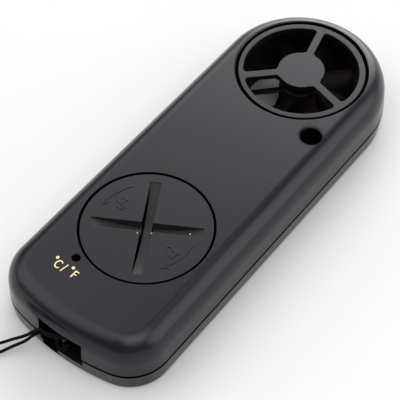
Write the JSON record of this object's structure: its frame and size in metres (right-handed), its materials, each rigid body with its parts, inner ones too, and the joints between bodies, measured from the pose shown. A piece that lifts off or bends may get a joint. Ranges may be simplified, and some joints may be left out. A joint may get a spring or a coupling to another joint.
{
  "type": "pocket vane anemometer",
  "caption": "Slim handheld wind meter: a ducted vane under a spoked grille, a coin-slot battery cover, a temperature port, a unit pinhole, keys, a display and a cord wrist loop.",
  "frame": {"origin": "centre of the body's footprint on the plane of the front face, where the face's display window lies", "axes": "+Z out of the back face, +Y from the centre towards the vane end, +X to the right seen from the back"},
  "size_m": [0.0563, 0.174, 0.0146],
  "materials": {
    "shell_plastic": "satin moulded",
    "grille_plastic": "satin moulded",
    "vane_plastic": "smoky gloss",
    "window": "clear acrylic",
    "lcd": "grey-green cell",
    "light_plastic": "white",
    "frame_plastic": "natural",
    "zebra_rubber": "matte",
    "board": "solder resist",
    "black_epoxy": "moulded",
    "tin_steel": "plated",
    "chip_ceramic": "fired",
    "bead_epoxy": "dipped",
    "spring_steel": "nickel plated",
    "cell_steel": "brushed",
    "screw_steel": "zinc plated",
    "bush_brass": "turned",
    "shaft_steel": "ground",
    "magnet_nickel": "nickel plated",
    "cover_plastic": "satin moulded",
    "key_plastic": "satin",
    "plunger_plastic": "moulded",
    "cord_fabric": "braided",
    "ferrule_steel": "crimped",
    "webbing_fabric": "woven"
  },
  "bodies": {
    "case": {"back_cover": "shell_plastic", "front_cover": "shell_plastic", "lcd_window": "window", "lcd_glass": "lcd", "lcd_holder": "frame_plastic", "lcd_backlight": "light_plastic", "zebra_strip": "zebra_rubber", "main_board": "board", "controller_chip": "black_epoxy", "crystal_can": "tin_steel", "chip_components": "chip_ceramic", "hall_sensor": "black_epoxy", "thermistor": "bead_epoxy", "battery_contact_positive": "spring_steel", "battery_contact_negative": "spring_steel", "coin_cell": "cell_steel", "power_switch_case": "black_epoxy", "mode_switch_case": "black_epoxy", "unit_switch_case": "black_epoxy", "case_screws": "screw_steel", "board_screws": "screw_steel", "vane_frame_rear": "grille_plastic", "vane_frame_front": "grille_plastic", "bearing_rear": "bush_brass", "bearing_front": "bush_brass"},
    "impeller": {"impeller": "vane_plastic", "impeller_shaft": "shaft_steel", "impeller_magnets": "magnet_nickel"},
    "battery_cover": {"battery_cover": "cover_plastic"},
    "power_button": {"power_button": "key_plastic", "power_switch_plunger": "plunger_plastic"},
    "mode_button": {"mode_button": "key_plastic", "mode_switch_plunger": "plunger_plastic"},
    "unit_key": {"unit_switch_plunger": "plunger_plastic"},
    "lanyard": {"lanyard_cord": "cord_fabric", "cord_ferrule": "ferrule_steel", "wrist_strap": "webbing_fabric"}
  },
  "joints": [
    {"name": "vane_spin", "type": "hinge", "parent": "case", "child": "impeller", "pos_m": [0, 0.03325, 0.00775], "axis": [0, 0, 1], "continuous": true},
    {"name": "cover_turn", "type": "hinge", "parent": "case", "child": "battery_cover", "pos_m": [0, -0.02365, 0.0132], "axis": [0, 0, 1], "range_deg": [0, 40]},
    {"name": "power_press", "type": "slide", "parent": "case", "child": "power_button", "axis": [0, 0, 1], "range_m": [0, 0.00035]},
    {"name": "mode_press", "type": "slide", "parent": "case", "child": "mode_button", "axis": [0, 0, 1], "range_m": [0, 0.00035]},
    {"name": "unit_press", "type": "slide", "parent": "case", "child": "unit_key", "axis": [0, 0, -1], "range_m": [0, 0.00025]},
    {"name": "lanyard_swing", "type": "hinge", "parent": "case", "child": "lanyard", "pos_m": [0.00035, -0.0514, 0.007], "axis": [0, 0, 1], "range_deg": [0, 60]}
  ]
}
